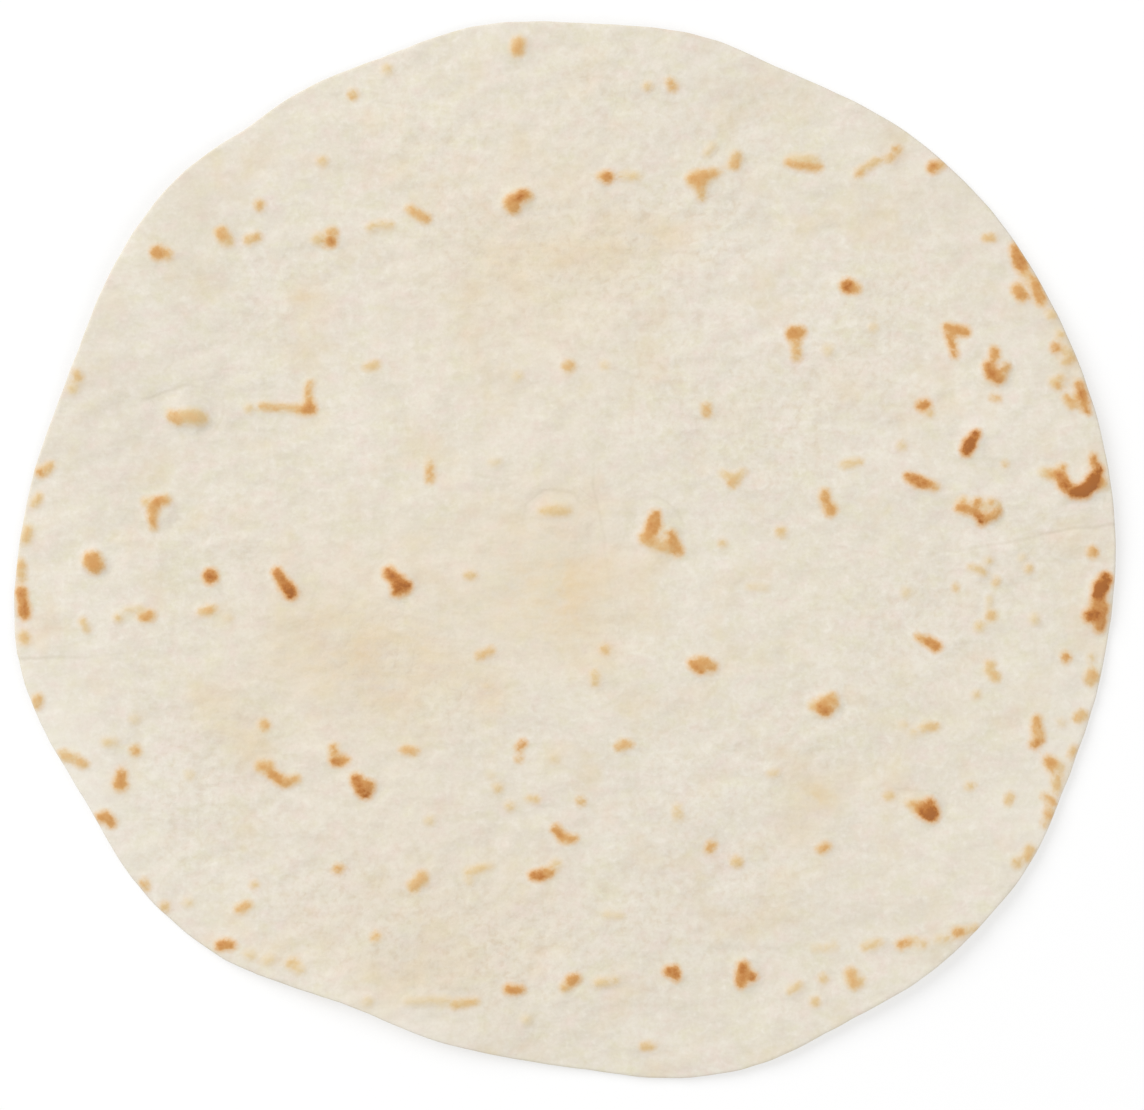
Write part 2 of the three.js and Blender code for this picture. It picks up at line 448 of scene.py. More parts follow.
    (0.60, (64.1, -15.7, 0.5), (65.2, -16.3, 0.6)),
    (0.35, (77.3, -20.9, 0.9), (77.0, -21.8, 0.7), (78.3, -23.0, 0.9)),
    (0.24, (74.8, -26.3, 0.7)),
    (0.14, (85.4, -12.6, 0.9)),
    (0.68, (91.0, -19.5, 0.9)),
    (0.20, (95.7, -19.5, 0.6)),
    (0.52, (95.7, -22.4, 0.8)),
    (0.42, (96.1, -23.2, 0.8), (95.4, -23.9, 0.8), (94.8, -23.2, 0.6)),
    (0.60, (85.7, -30.8, 0.85), (85.6, -32.2, 0.8)),
    (0.45, (86.1, -33.5, 0.9)),
    (0.72, (86.3, -34.4, 0.75), (85.2, -35.3, 0.85)),
    (0.42, (93.2, -30.5, 0.9), (94.0, -30.0, 1.0)),
    (0.18, (90.2, -31.3, 0.6)),
    (0.45, (91.9, -37.4, 0.5), (92.5, -36.0, 0.6)),
    (0.62, (88.0, -38.4, 1.1), (88.5, -39.2, 1.1)),
    (0.30, (89.9, -39.3, 0.7)),
    (0.38, (89.7, -41.6, 0.7), (89.3, -42.0, 0.8), (89.4, -43.3, 0.7)),
    (0.54, (87.1, -44.7, 0.5), (88.1, -45.3, 0.6), (88.6, -45.9, 0.75)),
    (0.54, (87.9, -47.9, 0.9)),
    (0.48, (87.1, -49.7, 0.6)),
    (0.40, (65.8, -32.0, 0.6), (67.4, -32.1, 0.6)),
    (0.25, (65.0, -32.6, 0.6)),
    (0.14, (63.2, -33.3, 0.6)),
    (0.14, (61.6, -31.7, 0.7)),
    (0.28, (73.4, -42.9, 0.6), (74.3, -42.8, 0.5)),
    (0.38, (80.5, -45.7, 0.6), (80.9, -44.9, 0.8)),
    (0.28, (58.9, -44.6, 0.9)),
    (0.98, (65.2, -47.4, 1.3), (66.6, -47.9, 1.6)),
    (0.90, (66.3, -45.9, 0.95)),
    (0.75, (64.3, -46.7, 1.05)),
    (0.45, (62.9, -46.1, 0.7)),
    # near side
    (0.48, (-76.3, -60.4, 0.7), (-76.0, -61.1, 0.7)),
    (0.33, (-72.6, -64.8, 0.9)),
    (0.14, (-68.2, -64.0, 0.8)),
    (0.50, (-59.0, -65.2, 0.8), (-57.4, -64.4, 0.7)),
    (0.28, (-56.3, -60.8, 0.65)),
    (0.76, (-62.5, -71.9, 0.9), (-61.5, -71.5, 1.0), (-60.6, -71.7, 0.9)),
    (0.33, (-49.4, -75.1, 1.0)),
    (0.18, (-48.0, -76.2, 0.8)),
    (0.14, (-57.0, -73.5, 1.0)),
    (0.16, (-53.7, -74.5, 1.0)),
    (0.52, (-41.1, -57.9, 0.9)),
    (0.44, (-25.9, -59.5, 1.2)),
    (0.44, (-27.3, -61.0, 1.1), (-26.6, -60.4, 0.9)),
    (0.24, (-17.2, -58.6, 0.8), (-15.6, -57.9, 0.6), (-13.6, -57.5, 0.5)),
    (0.14, (-17.3, -60.2, 0.6)),
    (0.88, (-5.6, -59.1, 0.9), (-4.2, -59.1, 1.05)),
    (0.60, (-2.7, -58.4, 0.9)),
    (0.22, (-1.4, -57.0, 0.7)),
    (0.70, (-1.6, -50.6, 0.8), (-0.4, -52.0, 0.9)),
    (0.60, (0.4, -52.5, 0.8), (2.0, -52.3, 0.5)),
    (0.44, (-34.3, -70.2, 0.8)),
    (0.38, (-19.8, -82.5, 0.8), (-17.8, -82.2, 0.6), (-16.0, -82.0, 0.5)),
    (0.16, (-28.5, -82.0, 0.5), (-24.5, -81.7, 0.6), (-21.5, -82.0, 0.7)),
    (0.72, (-10.2, -79.7, 0.8), (-9.0, -79.8, 0.8), (-7.8, -79.8, 0.6)),
    (0.15, (-35.7, -82.0, 0.9)),
    (0.12, (-6.8, -85.3, 0.8)),
    (0.72, (1.2, -78.2, 1.0), (2.0, -77.8, 0.9)),
    (0.40, (0.2, -79.4, 0.8)),
    (0.25, (6.2, -78.6, 0.8), (7.4, -78.4, 0.8)),
    (0.24, (9.2, -78.1, 0.6)),
    (0.50, (26.3, -54.4, 0.8), (26.7, -53.7, 0.9)),
    (0.33, (31.3, -56.7, 1.0)),
    (0.55, (46.6, -54.4, 0.8), (47.6, -53.8, 0.8)),
    (0.88, (18.8, -76.5, 0.9), (19.8, -76.5, 1.2), (20.2, -77.4, 0.9)),
    (0.84, (32.4, -75.6, 1.1), (32.2, -77.2, 1.2), (32.0, -78.6, 0.9)),
    (0.85, (33.2, -77.2, 0.9), (34.2, -77.4, 0.8)),
    (0.28, (41.0, -79.9, 0.6), (42.6, -79.0, 0.6)),
    (0.28, (47.0, -77.7, 0.8)),
    (0.32, (45.5, -82.0, 0.85)),
    (0.14, (45.5, -72.4, 0.5), (48.0, -72.2, 0.5)),
    (0.17, (49.0, -71.9, 0.5)),
    (0.47, (52.0, -76.9, 1.1), (52.4, -78.3, 1.0)),
    (0.50, (52.6, -79.0, 0.7)),
    (0.30, (53.9, -78.3, 0.6)),
    (0.40, (14.4, -90.1, 0.6), (15.6, -90.1, 0.7)),
    (0.15, (7.5, -66.3, 0.4), (10.3, -66.4, 0.4)),
    (0.28, (54.5, -72.1, 0.6), (56.0, -71.7, 0.7), (57.2, -71.2, 0.5)),
    (0.60, (61.0, -71.7, 0.8), (62.4, -71.2, 0.7)),
    (0.28, (63.7, -70.9, 0.5)),
    (0.40, (65.1, -71.5, 0.55)),
    (0.20, (67.6, -70.8, 0.5), (69.3, -70.6, 0.6)),
    (0.60, (71.2, -69.4, 0.9), (72.0, -69.3, 0.8)),
    (0.34, (73.0, -69.1, 0.5), (74.6, -68.7, 0.5)),
    (0.38, (84.5, -54.4, 0.9), (83.9, -55.8, 0.8)),
    (0.34, (82.1, -56.8, 0.9)),
]

# Soft tanned patches between the marks, as (how strong, right, up, radius)
tannedPatches = [
    (0.42, -38, -18, 20), (0.45, -4, -4, 16), (0.34, -6, 51, 22), (0.28, -20, -68, 20),
    (0.4, -44, -14, 4.5), (0.45, -36, -16.5, 4.5), (0.4, -27, -16, 4), (0.4, -42, -21.5, 3.5),
    (0.6, -35, -23, 4), (0.4, -32, -27, 3.5), (0.35, -26, -21.5, 4), (0.4, -19, -23, 4),
    (0.3, -4, -8, 9), (0.06, 4, -6, 8), (0.14, 8, -3, 5), (0.28, 2, -13, 8), (0.2, -12, -9, 6),
    (0.65, -13, -25.5, 3.5), (0.4, -14, -29, 3), (0.3, -50, -20, 5), (0.45, 7, -20, 3),
    (0.95, 16.5, 56.5, 3.5), (0.25, 20.5, 57, 2.6), (0.3, 2, 53.5, 4), (0.55, 9, 54, 4),
    (0.45, -4, 55, 3.5), (0.45, -12, 52.5, 3.5), (0.4, -17, 47, 2.5), (0.2, -8, 48, 3),
    (0.65, 44, -43, 3.5), (0.85, 47.5, -45.5, 3), (0.65, 42, -50, 4), (0.35, 52, -41, 3),
    (0.5, -62, -30, 5), (0.25, -58, -34, 4), (0.25, -66, -26, 4), (0.4, -57, -37, 3),
    (0.3, -36, -77, 4), (0.35, -28, -78, 5), (0.3, -19, -77, 4), (0.25, -44, -72, 4),
    (0.75, -48, 46, 2.5), (0.5, -44, 44.5, 2.5), (0.25, -59, 6, 3), (0.3, -82, 45, 2.5),
    (0.25, -66.5, 61, 2.5), (0.2, 62, 65, 3.5), (0.2, -68, 66.5, 3), (0.3, -1, 9, 3.5),
    (0.3, 6, 8, 2), (0.2, 50, 30, 5), (0.2, 30, 24, 4), (0.25, -2, -38, 3), (0.2, 70, -28, 4),
]

# Places where the crust is pebbly rather than smooth, as (how strong, right, up, radius)
pebblyPatches = [
    (0.9, -12, 52, 13), (1.0, 8, 54, 12), (0.8, 26, 57, 11), (0.6, 5, 84, 11), (0.5, 30, 78, 12),
    (0.5, -25, 72, 13), (0.6, 50, 34, 14), (0.6, 38, 18, 11), (0.5, 62, 48, 12), (0.5, 20, 30, 12),
    (0.9, -27, -72, 14), (0.9, -42, -64, 12), (0.8, -8, -72, 12), (0.7, 14, -68, 13),
    (0.6, 35, -60, 12), (1.0, -38, -18, 10), (0.9, -27, -24, 9), (0.6, -14, -27, 8),
    (0.6, -62, -36, 12), (0.5, -70, -52, 12), (0.5, 45, -35, 12), (0.5, 62, -12, 13),
    (0.4, -50, 45, 10), (0.4, -60, 0, 12), (0.4, 20, -42, 13), (0.4, 82, 0, 9), (0.4, 8, -15, 10),
]

# Paler patches, and duller ones where the strength is negative, as (how strong, right, up, radius)
# They are partly the crust's own tone and partly painted light and painted shade that even out the
# lamps, paler along the near rim where the curl turns from the key light
toneAndPaintedLightPatches = [
    (0.55, -92, -50, 14), (0.7, -34, -92, 13), (0.08, -70, -72, 14), (0.45, 94, -50, 13),
    (0.25, -96, -30, 10), (0.25, 96, -28, 10), (0.2, 60, -88, 14), (-0.14, 32, 84, 12),
    (-0.22, 92, 50, 13), (-0.18, 74, 66, 14), (-0.14, 22, -70, 16), (-0.14, 52, -70, 13),
    (-0.12, -30, -70, 14), (-0.12, -6, 88, 12), (-0.14, -86, 26, 18), (-0.16, -72, 66, 12),
    (-0.1, -44, -64, 14), (0.06, 30, 52, 12), (-0.13, -43, -18, 8), (-0.1, -33, -26, 6),
    (-0.16, -33, -78, 8), (0.12, -12, -9, 6),
]

toasting = {
    "blend": 2.2 / mm,  # how tightly neighbouring marks keep apart
    "farthest": 5 * mm,
    "undersideMarks": 210,
    "undersideSeed": 41,
}


def strokeReach(x, y, stroke):  # how far inside a stroke's edge each point is, in metres
    best = np.full(len(x), -toasting["farthest"])
    spots = [(px * percent, py * percent, r * percent) for px, py, r in stroke]
    if len(spots) == 1:
        spots = spots * 2
    for (x0, y0, r0), (x1, y1, r1) in zip(spots, spots[1:]):
        length = max((x1 - x0) ** 2 + (y1 - y0) ** 2, 1e-12)
        along = np.clip(((x - x0) * (x1 - x0) + (y - y0) * (y1 - y0)) / length, 0, 1)
        away = np.hypot(x - x0 - along * (x1 - x0), y - y0 - along * (y1 - y0))
        best = np.maximum(best, r0 + along * (r1 - r0) - away)
    return best


def gatherMarks(x, y, marks):  # one smooth distance and one tone from all the strokes
    weight = np.full(len(x), math.exp(-toasting["blend"] * toasting["farthest"]))
    tone = weight * 0.3
    for mark in marks:
        spots = np.array(mark[1:]) * percent
        margin = spots[:, 2].max() + toasting["farthest"]
        nearX = (x > spots[:, 0].min() - margin) & (x < spots[:, 0].max() + margin)
        nearY = (y > spots[:, 1].min() - margin) & (y < spots[:, 1].max() + margin)
        near = np.flatnonzero(nearX & nearY)
        share = np.exp(toasting["blend"] * strokeReach(x[near], y[near], mark[1:]))
        weight[near] += share
        tone[near] += share * mark[0]
    return np.log(weight) / toasting["blend"], tone / weight


def gatherPatches(x, y, patches):
    total = np.zeros(len(x))
    for strength, px, py, radius in patches:
        away = np.hypot(x / percent - px, y / percent - py) / radius
        total += strength * np.exp(-(away**2))
    return total


def scatterMarks(count, seed):  # the underside's own marks, short strokes placed by chance
    chance = np.random.default_rng(seed)
    marks = []
    for _ in range(count):
        turn, reach = chance.uniform(0, 2 * math.pi), 97 * math.sqrt(chance.uniform())
        px, py = reach * math.cos(turn), reach * 0.95 * math.sin(turn)
        size = chance.uniform(0.6, 1.7)
        lean, length = chance.uniform(0, 2 * math.pi), size * chance.uniform(0, 2.2)
        tone = 0.15 + 0.85 * chance.uniform() ** 1.3
        end = (px + length * math.cos(lean), py + length * math.sin(lean), size * 0.8)
        marks.append((tone, (px, py, size), end))
    return marks


relief = {  # pairs are a size across and a height
    "swell": (46 * mm, 0.5 * mm),
    "ripple": (14 * mm, 0.4 * mm),
    "rippleSquash": 0.75,  # longer from left to right where this is below 1
    "pimple": (5.2 * mm, 0.26 * mm),
    "pimpleSquash": 0.85,
    "wrinkle": (3.6 * mm, 0.28 * mm),
    "wrinkleStretch": 3.2,  # wrinkles run from left to right, a little uphill
    "wrinkleLean": math.radians(14),
    "wrinkleSway": (16 * mm, 1.5 * mm),
    "wrinklePatch": 34 * mm,  # wrinkles come and go over this distance
    "pebble": (2.9 * mm, 0.22 * mm),
    "smoothPebble": 0.25,  # the share of pebble relief that is left on smooth crust
    "bubbles": 420,
    "bubbleRadius": (1.2 * mm, 3.4 * mm),
    "bubbleRise": (0.05 * mm, 0.17 * mm),
    "bubbleSeed": 12,
    "blister": 0.68 * mm,  # under each toasted mark
    "blisterSkirt": 2.2 * mm,
    "fold": 0.3 * mm,
    "foldRidge": 1.7 * mm,
    "foldGroove": 1.1 * mm,
    "foldReach": 5 * mm,  # a fold shapes the crust no farther from its line than this
    "farFromFold": 9 * mm,  # the distance kept where there is no fold
    "topSeed": 21,
    "undersideSeed": 61,
    "underside": 0.7,  # the underside's relief against the top's
}

# Larger blisters, as (right, up, half width, half depth, height in millimetres)
largeBlisters = [
    (-68.6, 24.6, 5.4, 4.0, 0.75), (65.0, -46.4, 4.8, 3.8, 0.5), (-30.2, -5.6, 4.4, 4.2, 0.45),
    (93.2, 12.2, 6.0, 4.2, 0.6), (75.2, 7.2, 5.0, 3.4, 0.45), (73.6, 19.4, 3.4, 4.2, 0.4),
    (96.8, -9.6, 3.4, 6.2, 0.5), (78.2, 32.6, 3.6, 3.6, 0.4), (17.2, 3.4, 4.8, 4.6, 0.4),
    (32.6, -77.0, 3.8, 3.8, 0.4), (-37.4, -41.6, 4.2, 4.4, 0.45), (-50.8, -6.0, 3.6, 3.8, 0.4),
    (-85.3, -2.3, 3.4, 3.2, 0.35), (47.4, -28.0, 4.0, 3.4, 0.4), (25.0, -21.0, 4.0, 2.8, 0.35),
    (-73.8, 7.2, 3.6, 4.4, 0.35), (24.8, 67.2, 4.2, 3.2, 0.3), (-8.4, 63.2, 3.6, 3.2, 0.4),
    (-1.2, 3.2, 7.4, 7.6, 0.42), (9.5, 5.5, 3.8, 5.5, 0.25), (-15.0, 14.5, 6.0, 4.0, 0.22),
]

# Low folds in the sheet, as strokes of (right, up, how strong)
foldLines = [
    ((-100.5, -20.0, 1.0), (-93.0, -19.4, 0.9), (-87.0, -19.6, 0.5), (-82.0, -19.0, 0.0)),
    ((100.5, 4.7, 1.0), (92.0, 3.9, 0.9), (84.0, 2.2, 0.8), (74.0, 0.4, 0.6), (60.0, -1.6, 0.0)),
    ((5.0, 19.5, 0.0), (5.2, 12.0, 0.6), (7.2, 2.0, 0.5), (8.6, -8.0, 0.0)),
    ((-7.5, 3.0, 0.0), (-7.0, 8.5, 0.5), (-3.5, 11.0, 0.8), (1.5, 10.6, 0.6), (4.0, 7.0, 0.0)),
    ((-77.5, 27.0, 0.0), (-75.4, 27.6, 1.2), (-73.2, 28.6, 0.9), (-68.0, 30.0, 0.6), (-64.5, 28.6, 0.0)),
    ((-62.2, 28.6, 0.0), (-61.8, 25.2, 0.8), (-63.4, 21.4, 0.6), (-66.0, 19.8, 0.0)),
    ((-20.0, 14.6, 0.0), (-15.0, 13.4, 0.5), (-8.0, 12.6, 0.0)),
    ((13.4, 9.2, 0.0), (16.4, 9.8, 0.6), (19.6, 8.0, 0.6), (22.4, 3.0, 0.0)),
    ((57.0, -43.8, 0.0), (61.0, -43.4, 0.6), (65.5, -43.5, 0.5), (69.0, -44.6, 0.0)),
]


def bubbleField(x, y, count, seed):  # little bubbles all over
    chance = np.random.default_rng(seed)
    height = np.zeros(len(x))
    for _ in range(count):
        turn, reach = chance.uniform(0, 2 * math.pi), halfWidth * 0.97 * math.sqrt(chance.uniform())
        px, py = reach * math.cos(turn), reach * math.sin(turn)
        radius = chance.uniform(*relief["bubbleRadius"])
        rise = chance.uniform(*relief["bubbleRise"])
        away = np.hypot(x - px, (y - py) * chance.uniform(0.8, 1.4)) / radius
        height += rise * ease(1.6 - away * 1.6)
    return height


def crustHeight(x, y, reach, pebbly, seed):
    size, rise = relief["swell"]
    height = rise * softNoise(x, y, size, seed)
    size, rise = relief["ripple"]
    height += rise * softNoise(x * relief["rippleSquash"], y, size, seed + 1)
    size, rise = relief["pimple"]
    height += rise * softNoise(x * relief["pimpleSquash"], y, size, seed + 2)
    lean = relief["wrinkleLean"]
    along = (x * math.cos(lean) + y * math.sin(lean)) / relief["wrinkleStretch"]
    size, sway = relief["wrinkleSway"]
    across = y * math.cos(lean) - x * math.sin(lean) + sway * softNoise(x, y, size, seed + 5)
    size, rise = relief["wrinkle"]
    patchy = 0.45 + 0.55 * softNoise(x, y, relief["wrinklePatch"], seed + 4)
    height += rise * patchy * softNoise(along, across, size, seed + 3)
    size, rise = relief["pebble"]
    smooth = relief["smoothPebble"]
    height += rise * (smooth + (1 - smooth) * pebbly) * softNoise(x, y, size, seed + 6)
    height += bubbleField(x, y, relief["bubbles"], relief["bubbleSeed"] + seed)
    height += relief["blister"] * ease(0.5 + reach / relief["blisterSkirt"])
    return height


def largeBlisterHeight(x, y):
    height = np.zeros(len(x))
    for px, py, across, deep, rise in largeBlisters:
        sideways, endways = (x / percent - px) / across, (y / percent - py) / deep
        away = np.hypot(sideways, endways) + 0.12 * softNoise(x, y, 4 * mm, 77)
        height += 1.35 * rise * mm * ease((1 - away) * 1.6)
        height -= 0.1 * mm * np.exp(-(((away - 1.05) / 0.14) ** 2))
    return height


def followFold(x, y, fold):  # signed distance across a fold and how strong it is there
    side, strength = np.full(len(x), relief["farFromFold"]), np.zeros(len(x))
    reach = relief["foldReach"]
    spots = [(px * percent, py * percent, r) for px, py, r in fold]
    for (x0, y0, r0), (x1, y1, r1) in zip(spots, spots[1:]):
        long = math.hypot(x1 - x0, y1 - y0)
        along = ((x - x0) * (x1 - x0) + (y - y0) * (y1 - y0)) / long**2
        across = ((x1 - x0) * (y - y0) - (y1 - y0) * (x - x0)) / long
        on = (along > -0.02) & (along < 1.02) & (np.abs(across) < np.minimum(np.abs(side), reach))
        side[on] = across[on]
        strength[on] = r0 + np.clip(along[on], 0, 1) * (r1 - r0)
    return side, strength


def foldRelief(x, y):
    height, strength = np.zeros(len(x)), np.zeros(len(x))
    side = np.full(len(x), relief["farFromFold"])
    for fold in foldLines:
        newSide, newStrength = followFold(x, y, fold)
        newSide = newSide + 0.5 * mm * softNoise(x, y, 6 * mm, 33)
        ridge = np.exp(-((newSide / relief["foldRidge"] - 0.9) ** 2))
        groove = np.exp(-((newSide / relief["foldGroove"]) ** 2))
        height += relief["fold"] * newStrength * (ridge - 0.7 * groove)
        closer = (newStrength > 0) & (np.abs(newSide) < np.abs(side))
        side[closer], strength[closer] = newSide[closer], newStrength[closer]
    return height, side, strength


def bakeCrust(thing):  # raises the relief and stores what the finish reads
    points = readPoints(thing)
    normals = np.empty(len(points) * 3)
    thing.data.vertices.foreach_get("normal", normals)
    facing = normals.reshape(-1, 3)[:, 2]
    above = facing >= 0
    nearer = 1 + (points[:, 2] - mm) / cameraHeight  # marks are placed as seen from above
    x, y = points[:, 0] * nearer, points[:, 1] * nearer
    reach, tone = np.empty(len(x)), np.empty(len(x))
    reach[above], tone[above] = gatherMarks(x[above], y[above], toastMarks)
    hidden = scatterMarks(toasting["undersideMarks"], toasting["undersideSeed"])
    reach[~above], tone[~above] = gatherMarks(x[~above], y[~above], hidden)
    tan = gatherPatches(x, y, tannedPatches)
    pebbly = np.clip(gatherPatches(x, y, pebblyPatches), 0, 1)
    # paler and duller patches, partly the crust's own tone and partly painted light and painted shade
    flour = gatherPatches(x, y, toneAndPaintedLightPatches)
    foldHeight, foldSide, foldStrength = foldRelief(x, y)
    foldStrength[~above] = 0
    top = crustHeight(x, y, reach, pebbly, relief["topSeed"]) + largeBlisterHeight(x, y) + foldHeight
    under = relief["underside"] * crustHeight(x, y, reach, pebbly, relief["undersideSeed"])
    points[:, 2] += np.clip(facing, 0, 1) * (top - top[above].min() * 0.5)
    points[:, 2] += np.clip(-facing, 0, 1) * (under[~above].max() - under)
    points[:, 2] = np.maximum(points[:, 2], 0)
    writePoints(thing, points)
    kept = {
        "toastReach": reach / mm,
        "toastTone": tone,
        "tan": tan,
        "pebbly": pebbly,
        "flour": flour,
        "foldSide": foldSide / mm,
        "foldStrength": foldStrength,
    }
    for name, values in kept.items():
        layer = thing.data.attributes.new(name, "FLOAT", "POINT")
        layer.data.foreach_set("value", values)


bakeCrust(bread)
print("crust raised and marks placed")


bakeMap = {  # where the two faces lie on the square of the bake map
    "topMiddle": 0.375,
    "topRadius": 0.365,
    "underMiddle": 0.79,
    "underRadius": 0.198,
}


def layMap(thing):  # the top as a large disc, the underside as a small one
    points = readPoints(thing)
    reach = np.hypot(points[:, 0], points[:, 1])
    direction = np.arctan2(points[:, 1], points[:, 0])
    corners = np.empty(len(thing.data.loops), dtype=np.int32)
    thing.data.loops.foreach_get("vertex_index", corners)
    counts = np.empty(len(thing.data.polygons), dtype=np.int32)
    thing.data.polygons.foreach_get("loop_total", counts)
    normals = np.empty(len(thing.data.polygons) * 3)
    thing.data.polygons.foreach_get("normal", normals)
    up = np.repeat(normals.reshape(-1, 3)[:, 2] >= 0, counts)
    middle = np.where(up, bakeMap["topMiddle"], bakeMap["underMiddle"])
    radius = np.where(up, bakeMap["topRadius"], -bakeMap["underRadius"])
    away = radius * reach[corners] / (halfWidth * 1.03)
    places = np.empty((len(corners), 2))
    places[:, 0] = middle + away * np.cos(direction[corners])
    places[:, 1] = middle + np.abs(away) * np.sin(direction[corners])
    layer = thing.data.uv_layers.new(name="OFBake")
    layer.data.foreach_set("uv", places.ravel())


layMap(bread)
print("map laid")


def colour(red, green, blue):  # from the usual 0 to 255 to the light that it stands for
    parts = [value / 255 for value in (red, green, blue)]
    return [p / 12.92 if p <= 0.04045 else ((p + 0.055) / 1.055) ** 2.4 for p in parts] + [1]


class Wire:  # a socket that can be added, subtracted, multiplied and divided
    def __init__(self, paint, socket):
        self.paint = paint
        self.socket = socket

    def __add__(self, other):
        return self.paint.maths("ADD", self, other)

    def __sub__(self, other):
        return self.paint.maths("SUBTRACT", self, other)

    def __rsub__(self, other):
        return self.paint.maths("SUBTRACT", other, self)

    def __mul__(self, other):
        return self.paint.maths("MULTIPLY", self, other)

    def __truediv__(self, other):
        return self.paint.maths("DIVIDE", self, other)

    def clamped(self):
        return self.paint.node("ShaderNodeClamp", sockets={"Value": self})

    def eased(self):
        held = self.clamped()
        return held * held * (3 - held * 2)

    __radd__ = __add__
    __rmul__ = __mul__


class Paint:
    def __init__(self, name):
        self.material = bpy.data.materials.new(name)
        self.material.use_nodes = True
        self.tree = self.material.node_tree
        self.tree.nodes.clear()

    def node(self, kind, settings=None, sockets=None, out=0):
        made = self.tree.nodes.new(kind)
        for name, value in (settings or {}).items():
            if name == "stops":
                self.setStops(made.color_ramp, value)
            else:
                setattr(made, name, value)
        for name, value in (sockets or {}).items():
            if isinstance(value, Wire):
                self.tree.links.new(value.socket, made.inputs[name])
            else:
                made.inputs[name].default_value = value
        return Wire(self, made.outputs[out])

    def setStops(self, ramp, stops):
        while len(ramp.elements) < len(stops):
            ramp.elements.new(1)
        for element, (place, shade) in zip(ramp.elements, stops):
            element.position = place
            element.color = shade

    def maths(self, operation, first, second):
        return self.node("ShaderNodeMath", {"operation": operation}, {0: first, 1: second})

    def mixed(self, share, first, second):
        settings = {"data_type": "RGBA", "blend_type": "MIX"}
        return self.node("ShaderNodeMix", settings, {0: share, 6: first, 7: second}, out=2)

    def noise(self, place, scale, detail=2, rough=0.5, stretch=None, warp=0):
        if stretch:
            place = self.node("ShaderNodeMapping", sockets={"Vector": place, "Scale": stretch})
        sockets = {"Vector": place, "Scale": scale, "Detail": detail, "Roughness": rough}
        sockets["Distortion"] = warp
        return self.node("ShaderNodeTexNoise", sockets=sockets)

    def kept(self, name):
        settings = {"attribute_type": "GEOMETRY", "attribute_name": name}
        return self.node("ShaderNodeAttribute", settings, out="Fac")

    def finish(self, shader):
        end = self.tree.nodes.new("ShaderNodeOutputMaterial")
        self.tree.links.new(shader.socket, end.inputs["Surface"])
        return self.material


crust = {
    "cream": colour(224, 216, 201),
    "pale": colour(237, 232, 221),
    "shade": colour(205, 196, 181),
    "pink": colour(228, 208, 199),
    "green": colour(219, 214, 183),
    # painted shade for the hollows of the pebble bump
    "paintedCreviceShade": colour(207, 187, 160),
    "dullToneAndPaintedShade": colour(203, 193, 176),
    # painted shade for the folds' creases
    "paintedFoldShade": colour(184, 172, 146),
    "tan": colour(220, 197, 157),
    "ember": colour(229, 171, 112),
    "rim": colour(223, 216, 196),
    "toast": [
        (0.00, colour(222, 212, 189)), (0.12, colour(222, 206, 175)), (0.24, colour(219, 195, 152)),
        (0.34, colour(216, 187, 139)), (0.44, colour(217, 179, 127)), (0.54, colour(212, 168, 111)),
        (0.64, colour(207, 156, 95)), (0.74, colour(203, 148, 86)), (0.84, colour(195, 134, 73)),
        (0.94, colour(182, 115, 51)), (1.00, colour(167, 101, 43)),
    ],
    "roughness": 0.72,
    "toastRoughness": 0.55,
    "bumpDepth": 0.3 * mm,
    "noises": {  # a scale counts the bumps in a metre
        "broad": {"scale": 22, "detail": 3},
        "stain": {"scale": 62, "detail": 3, "rough": 0.6},
        "patch": {"scale": 95, "detail": 4, "rough": 0.65, "stretch": (0.8, 1, 1)},
        "hue": {"scale": 210, "detail": 3, "rough": 0.6, "stretch": (0.75, 1, 1)},
        "streak": {"scale": 300, "detail": 3, "rough": 0.6, "stretch": (0.4, 1, 1)},
        "pebble": {"scale": 400, "rough": 0.6, "warp": 0.25},
        "ragged": {"scale": 560, "detail": 3, "rough": 0.65},
        "speck": {"scale": 900, "rough": 0.6},
        "fine": {"scale": 1900, "rough": 0.6},
        "grain": {"scale": 2400, "rough": 0.6},
    },
    # Thin washes of colour, as (noise, where it starts, how sharply it comes in, strength, colour)
    "washes": [
        ("broad", 0.42, 3, 0.5, "rim"), ("patch", 0.5, 4, 0.45, "pale"),
        ("patch", 0.47, -4, 0.3, "shade"), ("hue", 0.52, 5, 0.48, "pink"),
        ("hue", 0.48, -5, 0.5, "green"), ("streak", 0.53, 5, 0.3, "shade"),
    ],
    "specks": [
        ("pebble", 0.54, 5, 0.4, "pale"), ("speck", 0.5, -4, 0.18, "shade"),
        ("speck", 0.5, 4, 0.18, "pale"),
    ],
    "stains": [("stain", 0.53, 4, 0.42, "tan")],
    "tanLevel": 0.58,
    "tanContrast": 1.4,
    "creviceShade": (0.15, 0.53),  # on smooth and on pebbly crust
    "foldWidth": 0.85,  # millimetres to each side
    "foldShade": 0.26,
    "toastSpread": 0.23,  # millimetres that the toast reaches past its stroke
    "toastRagged": 1.2,
    "toastHalo": 1.4,  # millimetres of soft edge, a little less where it is dark
}


def washOver(paint, base, noise, washes):
    for name, start, slope, strength, shade in washes:
        share = ((noise[name] - start) * slope).clamped() * strength
        base = paint.mixed(share, base, crust[shade])
    return base


